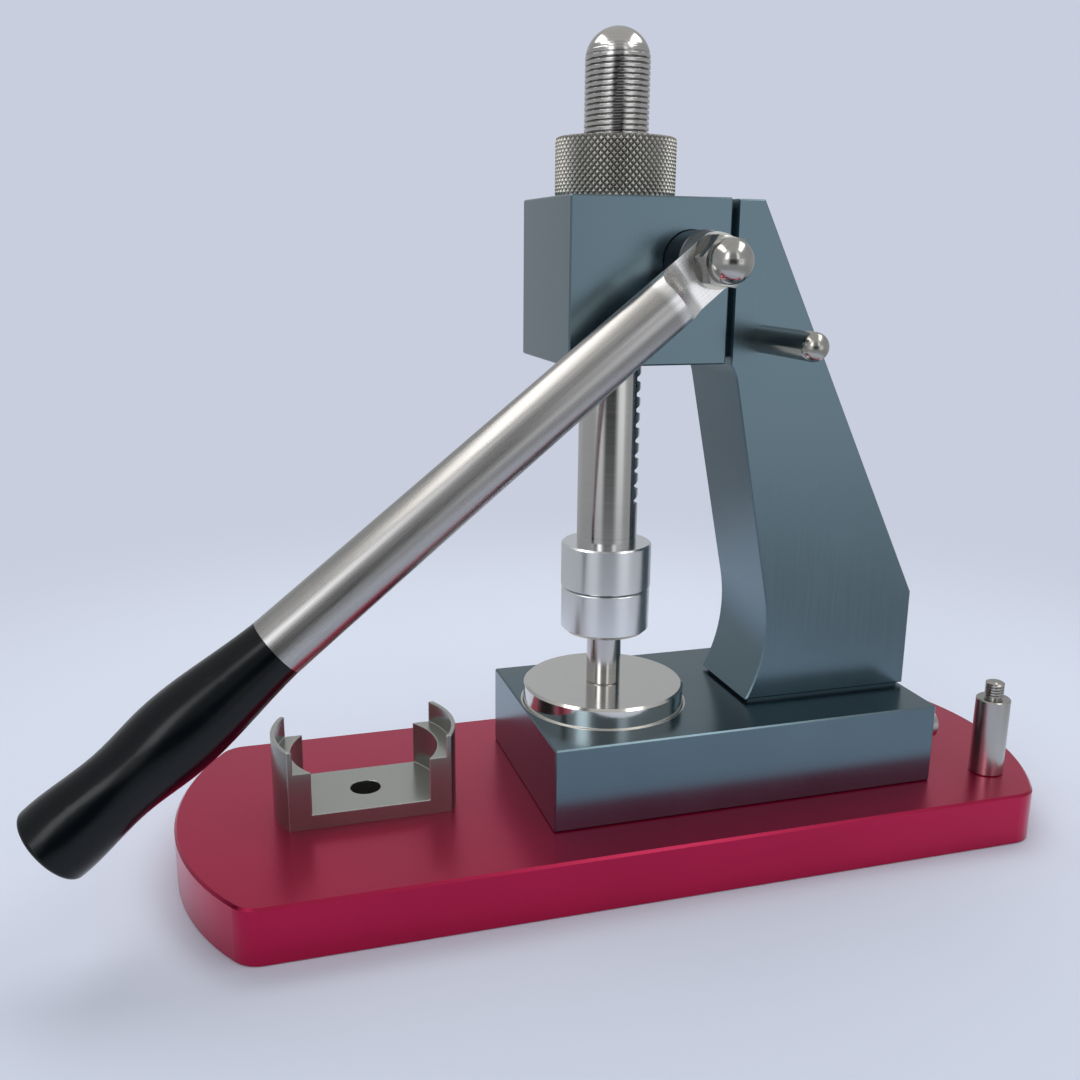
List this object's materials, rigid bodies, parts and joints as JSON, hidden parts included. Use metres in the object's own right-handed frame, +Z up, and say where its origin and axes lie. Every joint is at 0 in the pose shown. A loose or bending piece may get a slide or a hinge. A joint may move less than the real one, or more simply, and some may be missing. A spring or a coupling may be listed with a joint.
{
  "type": "lever capping press",
  "caption": "Hand lever press that seats caps on small bottles: rack ram with stop nut, anvil, shaped column, bottle nest and spare punch on a long base plate.",
  "frame": {"origin": "middle of the base plate's underside, on the surface that the press stands on", "axes": "+X from the bottle nest towards the column, +Y away from the lever's side, +Z up along the ram"},
  "size_m": [0.4229, 0.143, 0.3287],
  "materials": {
    "red_anodised": "satin",
    "slate_anodised": "satin",
    "polished_steel": "gloss",
    "ground_steel": "satin",
    "brushed_steel": "brushed",
    "knurled_steel": "satin",
    "dark_steel": "satin",
    "turned_aluminium": "satin",
    "nest_alloy": "satin",
    "black_plastic": "satin",
    "bush_bronze": "satin",
    "screw_steel": "satin"
  },
  "bodies": {
    "frame": {"base_plate": "red_anodised", "lower_block": "slate_anodised", "block_screws": "screw_steel", "anvil_disc": "polished_steel", "anvil_screw": "screw_steel", "column": "slate_anodised", "column_screws": "screw_steel", "head_block": "slate_anodised", "head_screws": "screw_steel", "ram_bush_lower": "bush_bronze", "ram_bush_upper": "bush_bronze", "stop_pin": "polished_steel", "nest": "nest_alloy", "nest_screws": "screw_steel", "rear_screws": "screw_steel", "spare_punch": "polished_steel"},
    "lever": {"pinion_shaft": "dark_steel", "thrust_washer": "screw_steel", "retaining_ring": "dark_steel", "lever_bar": "brushed_steel", "lever_grip": "black_plastic", "lever_washer": "polished_steel", "cap_nut": "polished_steel"},
    "ram": {"ram": "ground_steel", "coupling_collar": "turned_aluminium", "punch_holder": "turned_aluminium", "punch": "polished_steel"},
    "stop_nut": {"stop_nut": "knurled_steel"}
  },
  "joints": [
    {"name": "lever_swing", "type": "hinge", "parent": "frame", "child": "lever", "pos_m": [0.0121, -0.054, 0.2434], "axis": [0, 1, 0], "range_deg": [0, 239]},
    {"name": "ram_slide", "type": "slide", "parent": "frame", "child": "ram", "axis": [0, 0, 1], "range_m": [0, 0.0334]},
    {"name": "stop_nut_turn", "type": "hinge", "parent": "ram", "child": "stop_nut", "pos_m": [-0.0075, 0, 0.2775], "axis": [0, 0, 1], "continuous": true}
  ],
  "couplings": [
    {"joint": "ram_slide", "follows": "lever_swing", "m_per_rad": 0.008}
  ]
}
